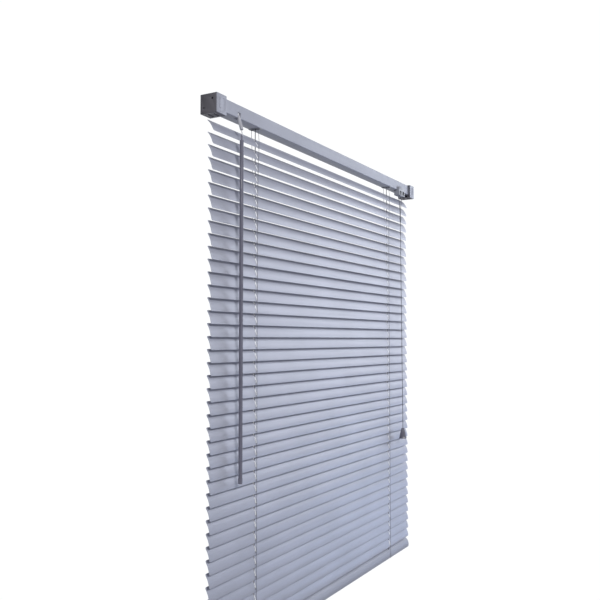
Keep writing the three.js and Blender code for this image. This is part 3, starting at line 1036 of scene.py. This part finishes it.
# ---- cord lock ----
def make_lock():
    low = LOCK_LOW
    windows = [
        box_object(
            f"window_{index + 1}",
            (x - WINDOW_HALF, low.y - MM, low.z + 1.8 * MM),
            (x + WINDOW_HALF, low.y + 4 * MM, low.z + 11.4 * MM),
        )
        for index, x in enumerate(WINDOW_X)
    ]
    refined(
        "cord_lock", "cord_lock_body", "housing_plastic", "frame", 0.4 * MM, 2, windows
    )
    # Jaws behind the windows; their near-black colour is painted shade for the windows' dark
    # inside.
    for index, x in enumerate(WINDOW_X):
        jaw = box_object(
            f"cord_lock_shade_jaw_{index + 1}",
            (x - WINDOW_HALF + 0.2 * MM, low.y + 1.6 * MM, low.z + 2 * MM),
            (x + WINDOW_HALF - 0.2 * MM, low.y + 3.95 * MM, low.z + 11.2 * MM),
        )
        bevel(jaw, 0.6 * MM, 2)
        finish_piece(jaw, "jaw_painted_shade", "frame")
    start = Vector((LOCK_X - 13 * MM, MID_Y - 1 * MM, RAIL_LOW.z + 11 * MM))
    span = 26 * MM
    profile = [(0, 0), (1.4 * MM, 0), (1.4 * MM, 1.2 * MM)]
    for step in range(13):
        height = 1.4 * MM + (span - 2.8 * MM) * step / 12
        profile.append(((3.2 if step % 2 else 2.9) * MM, height))
    profile += [(1.4 * MM, span - 1.2 * MM), (1.4 * MM, span), (0, span)]
    roller = turned("cord_lock_roller", profile, start, (1, 0, 0), 36)
    finish_piece(roller, "steel", "frame")


# ---- bottom rail ----
def lens_outline(chord, thickness, steps=14):
    """Two equal arcs that meet in a sharp edge at each end of the chord."""
    half, rise = chord / 2, thickness / 2
    radius = (half * half + rise * rise) / (2 * rise)
    reach = math.asin(half / radius)
    points = []
    for sign in (1, -1):
        for step in range(steps):
            angle = sign * reach * (1 - 2 * step / steps)
            height = radius * math.cos(angle) - radius + rise
            points.append((-radius * math.sin(angle), sign * height))
    return points


def bar_along(name, outline, x_span, tilt, centre):
    """The outline turned by the tilt about the centre, and drawn out along X."""
    turn = Matrix.Rotation(tilt, 3, "X")
    places = [turn @ Vector((0, y, z)) for y, z in outline]
    ring = [(centre.y + place.y, centre.z + place.z) for place in places]
    return extruded(name, ring, x_span)


def make_bottom_rail():
    tilt = math.radians(HANGING_TILT)
    low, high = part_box("bottom_rail")
    cap = 1.6 * MM
    bar = bar_along(
        "bottom_rail_tube", lens_outline(24.6 * MM, 8.6 * MM), (low.x + cap, high.x - cap),
        tilt, BOTTOM_RAIL,
    )
    finish_piece(bar, "rail_paint", "bottom_rail", ["bottom_rail"], angle=40)
    spans = ((low.x, low.x + cap), (high.x - cap, high.x))
    for name, span in zip(SIDES, spans):
        outline = lens_outline(25 * MM, 9 * MM)
        end = bar_along(f"bottom_rail_cap_{name}", outline, span, tilt, BOTTOM_RAIL)
        bevel(end, 0.3 * MM, 2)
        finish_piece(end, "drum_plastic", "bottom_rail")
    outward = Matrix.Rotation(tilt, 3, "X") @ Vector((0, 0, -1))
    for name, x in LADDERS:
        seat = Vector((x, BOTTOM_RAIL.y, BOTTOM_RAIL.z)) + outward * 3.8 * MM
        profile = [
            (0, 0), (4.6 * MM, 0), (4.6 * MM, 0.7 * MM), (4.1 * MM, 1.1 * MM),
            (1.6 * MM, 1.2 * MM), (1.4 * MM, 0.8 * MM), (0, 0.8 * MM),
        ]
        button = turned(f"bottom_rail_button_{name}", profile, seat, outward, 36)
        finish_piece(button, "drum_plastic", "bottom_rail")


# ---- brackets ----
def make_brackets():
    for side in SIDES:
        # The bracket colour is darkened as painted shade for its end and underside.
        refined(f"bracket_{side}", f"bracket_box_{side}", "bracket_paint", "frame", 0.35 * MM)
        refined(
            f"bracket_cover_{side}", f"bracket_front_{side}", "rail_paint", f"cover_{side}",
            0.4 * MM, 3,
        )


make_pull_cords()
make_slats()
make_rungs()
make_ladder_strings()
make_lift_cords()
make_rail()
make_tilter()
make_rod_and_drums()
make_wand()
make_lock()
make_bottom_rail()
make_brackets()


# ---- stage and light ----
WORLD_DIM = 0.26
WORLD_BRIGHT = 1.04
FLOOR_CENTRE = Vector((0.2, -0.35, -1.55))
FLOOR_RADIUS = 1.95
FLOOR_SIDES = 96


def make_stage():
    material, tree, shader = shader_nodes("floor_paint")
    base = noise_value(tree, place_coordinates(tree), 2.0)
    colour = colour_between(tree, base, (0.42, 0.42, 0.43), (0.46, 0.46, 0.47))
    tree.links.new(colour, shader.inputs["Base Color"])
    shader.inputs["Roughness"].default_value = 0.9
    turns = [2 * math.pi * i / FLOOR_SIDES for i in range(FLOOR_SIDES)]
    rim = [
        FLOOR_CENTRE + FLOOR_RADIUS * Vector((math.cos(angle), math.sin(angle), 0))
        for angle in turns
    ]
    floor = new_object("floor", rim, [tuple(range(FLOOR_SIDES))])
    floor.data.materials.append(material)


def area_light(name, place, target, size, power, colour):
    data = bpy.data.lights.new(name, "AREA")
    data.shape = "RECTANGLE"
    data.size = data.size_y = size
    data.energy = power
    data.color = colour
    light = bpy.data.objects.new(name, data)
    bpy.context.scene.collection.objects.link(light)
    light.location = place
    direction = Vector(target) - Vector(place)
    light.rotation_mode = "QUATERNION"
    light.rotation_quaternion = direction.to_track_quat("-Z", "Y")


def make_world():
    """A white cyclorama behind the blind that fades to a dim grey studio in front of it."""
    world = bpy.data.worlds.new("studio")
    bpy.context.scene.world = world
    world.use_nodes = True
    tree = world.node_tree
    coordinates = tree.nodes.new("ShaderNodeTexCoord")
    facing = tree.nodes.new("ShaderNodeVectorMath")
    facing.operation = "DOT_PRODUCT"
    facing.inputs[1].default_value = (0.867, 0.498, 0.0)
    tree.links.new(coordinates.outputs["Generated"], facing.inputs[0])
    across = world_fade(tree, facing.outputs["Value"], 0.3, 0.8)
    parts = tree.nodes.new("ShaderNodeSeparateXYZ")
    tree.links.new(coordinates.outputs["Generated"], parts.inputs["Vector"])
    above = world_fade(tree, parts.outputs["Z"], -0.5, -0.36)
    both = tree.nodes.new("ShaderNodeMath")
    both.operation = "MULTIPLY"
    tree.links.new(across, both.inputs[0])
    tree.links.new(above, both.inputs[1])
    strength = tree.nodes.new("ShaderNodeMapRange")
    strength.inputs["To Min"].default_value = WORLD_DIM
    strength.inputs["To Max"].default_value = WORLD_BRIGHT
    tree.links.new(both.outputs["Value"], strength.inputs["Value"])
    background = tree.nodes["Background"]
    background.inputs["Color"].default_value = (0.975, 0.985, 1.0, 1)
    tree.links.new(strength.outputs["Result"], background.inputs["Strength"])


def world_fade(tree, value, start, end):
    fade = tree.nodes.new("ShaderNodeMapRange")
    fade.interpolation_type = "SMOOTHSTEP"
    fade.inputs["From Min"].default_value = start
    fade.inputs["From Max"].default_value = end
    tree.links.new(value, fade.inputs["Value"])
    return fade.outputs["Result"]


make_world()
make_stage()
area_light("softbox_key", (-1.3, -2.35, 0.95), (0.45, 0, -0.1), 0.32, 49, (1, 0.985, 0.95))
area_light("softbox_fill", (2.4, -1.05, 0.3), (0.5, 0, -0.3), 1.2, 17, (0.86, 0.91, 1))
area_light("softbox_low", (2.4, -1.1, -0.8), (0.5, 0, -0.7), 0.8, 6, (0.55, 0.7, 1))
bpy.context.scene.view_settings.view_transform = "Standard"
